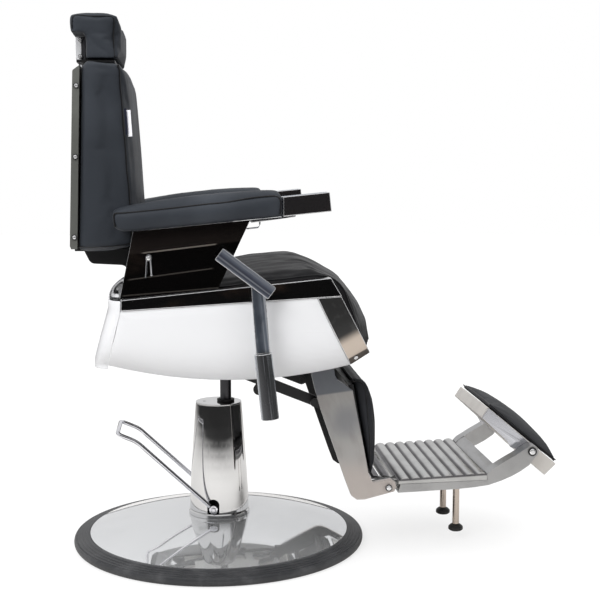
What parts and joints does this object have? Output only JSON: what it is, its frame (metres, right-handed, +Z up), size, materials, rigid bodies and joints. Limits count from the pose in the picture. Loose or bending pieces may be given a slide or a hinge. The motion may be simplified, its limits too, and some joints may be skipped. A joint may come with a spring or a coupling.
{
  "type": "hydraulic barber chair",
  "caption": "Barber chair with a pump base, foot pedal, swivelling lifting seat, reclining back, sliding headrest, leg rest and footplate with a flip-over padded footrest.",
  "frame": {"origin": "centre of the round base, on the floor", "axes": "+X towards the sitter's front and the footrest, +Y towards the sitter's left, +Z up"},
  "size_m": [1.0731, 0.6934, 1.151],
  "materials": {
    "base_chrome": "polished chrome plate on the dish, the ring and the column cover",
    "base_rubber": "dark grey rubber, satin",
    "cast_black": "black painted castings and plates",
    "steel_dark": "black powder-coated steel",
    "rod_black": "dark oiled piston rod",
    "bare_steel": "turned steel axles",
    "pedal_chrome": "chromed bent rod",
    "seal_rubber": "black rubber",
    "plywood": "plain plywood",
    "vinyl": "charcoal satin vinyl-coated upholstery fabric over foam, with a fine grain",
    "shell_white": "white gloss shell",
    "trim_black": "near-black polished metal",
    "strip_metal": "brushed strip, champagne towards its lower end",
    "screw_steel": "bright screws",
    "arm_black": "glossy black arm plates",
    "wire_steel": "bright wire",
    "lever_steel": "blue-grey flat bars",
    "grip_chrome": "chromed grip tube",
    "board_grey": "grey-olive vinyl covered board",
    "clamp_chrome": "chromed headrest clamp and posts",
    "leg_metal": "brushed aluminium cover plates",
    "foot_cast": "satin cast aluminium",
    "foot_chrome": "warm chromed legs",
    "glide_black": "black glides",
    "flip_metal": "warm light grey satin cast plate",
    "flip_chrome": "chromed brackets"
  },
  "bodies": {
    "base": {"base_ring": "base_rubber", "base_dish": "base_chrome", "base_ballast": "cast_black", "pump_body": "cast_black", "column_ring": "base_chrome", "column_cover": "base_chrome", "column_cap": "base_chrome", "rod_seal": "seal_rubber"},
    "pedal": {"pedal_axle": "bare_steel", "pedal_hubs": "pedal_chrome", "pedal_rod": "pedal_chrome"},
    "piston": {"piston_rod": "rod_black"},
    "seat": {"swivel_hub": "cast_black", "seat_frame": "steel_dark", "hinge_axles": "bare_steel", "seat_board": "plywood", "seat_cushion": "vinyl", "shell_right": "shell_white", "shell_left": "shell_white", "shell_rear": "shell_white", "rail_right": "trim_black", "rail_left": "trim_black", "strip_right": "strip_metal", "strip_left": "strip_metal", "trim_screws": "screw_steel", "side_plate_right": "trim_black", "side_plate_left": "trim_black", "arm_bracket_right": "arm_black", "arm_bracket_left": "arm_black", "arm_pad_right": "vinyl", "arm_pad_left": "vinyl", "arm_hooks": "wire_steel"},
    "side_hook": {"side_hook": "wire_steel"},
    "lever": {"lever_shaft": "steel_dark", "lever_upper_bar": "lever_steel", "lever_lower_bar": "lever_steel", "lever_grip": "grip_chrome"},
    "back": {"back_brackets": "steel_dark", "back_board": "board_grey", "back_cushion": "vinyl", "back_screws": "screw_steel"},
    "headrest": {"headrest_pad": "vinyl", "headrest_base": "steel_dark", "headrest_clamp": "clamp_chrome", "headrest_posts": "clamp_chrome", "headrest_bolts": "screw_steel"},
    "legrest": {"leg_cover_right": "leg_metal", "leg_cover_left": "leg_metal", "leg_frame": "steel_dark", "calf_board": "steel_dark", "calf_pad": "vinyl", "foot_pins": "screw_steel"},
    "links": {"link_bars": "steel_dark"},
    "footplate": {"footplate_frame": "foot_cast", "footplate_tread": "foot_cast", "foot_legs": "foot_chrome", "foot_glides": "glide_black"},
    "flip": {"flip_plate": "flip_metal", "flip_pad": "vinyl", "flip_brackets": "flip_chrome"}
  },
  "joints": [
    {"name": "pedal_pump", "type": "hinge", "parent": "base", "child": "pedal", "pos_m": [-0.015, 0, 0.088], "axis": [0, -1, 0], "range_deg": [0, 25], "stiffness_Nm_per_rad": 22, "springref_deg": -11.46},
    {"name": "seat_lift", "type": "slide", "parent": "base", "child": "piston", "axis": [0, 0, 1], "range_m": [-0.015, 0.13]},
    {"name": "seat_swivel", "type": "hinge", "parent": "piston", "child": "seat", "pos_m": [0.016, 0, 0.43], "axis": [0, 0, 1], "continuous": true},
    {"name": "side_hook_swing", "type": "hinge", "parent": "seat", "child": "side_hook", "pos_m": [-0.142, -0.29, 0.661], "axis": [0, -1, 0], "range_deg": [-60, 60]},
    {"name": "recline_lever", "type": "hinge", "parent": "seat", "child": "lever", "pos_m": [0.008, -0.3, 0.661], "axis": [0, -1, 0], "range_deg": [0, 12], "stiffness_Nm_per_rad": 12, "springref_deg": -14.32},
    {"name": "back_recline", "type": "hinge", "parent": "seat", "child": "back", "pos_m": [-0.172, 0, 0.556], "axis": [0, -1, 0], "range_deg": [0, 45]},
    {"name": "headrest_slide", "type": "slide", "parent": "back", "child": "headrest", "axis": [0.0314, 0, 0.9995], "range_m": [0, 0.08]},
    {"name": "legrest_swing", "type": "hinge", "parent": "seat", "child": "legrest", "pos_m": [0.215, 0, 0.435], "axis": [0, -1, 0], "range_deg": [0, 27.1]},
    {"name": "link_turn", "type": "hinge", "parent": "legrest", "child": "links", "pos_m": [0.2, 0, 0.34], "axis": [0, -1, 0], "range_deg": [-26.8, 0]},
    {"name": "footplate_fold", "type": "hinge", "parent": "legrest", "child": "footplate", "pos_m": [0.359, 0, 0.1545], "axis": [0, -1, 0], "range_deg": [0, 35]},
    {"name": "footrest_flip", "type": "hinge", "parent": "footplate", "child": "flip", "pos_m": [0.6745, 0, 0.2255], "axis": [0, 1, 0], "range_deg": [0, 130]}
  ],
  "couplings": [
    {"joint": "legrest_swing", "follows": "back_recline", "ratio": 0.6},
    {"joint": "link_turn", "follows": "back_recline", "ratio": -0.594}
  ]
}
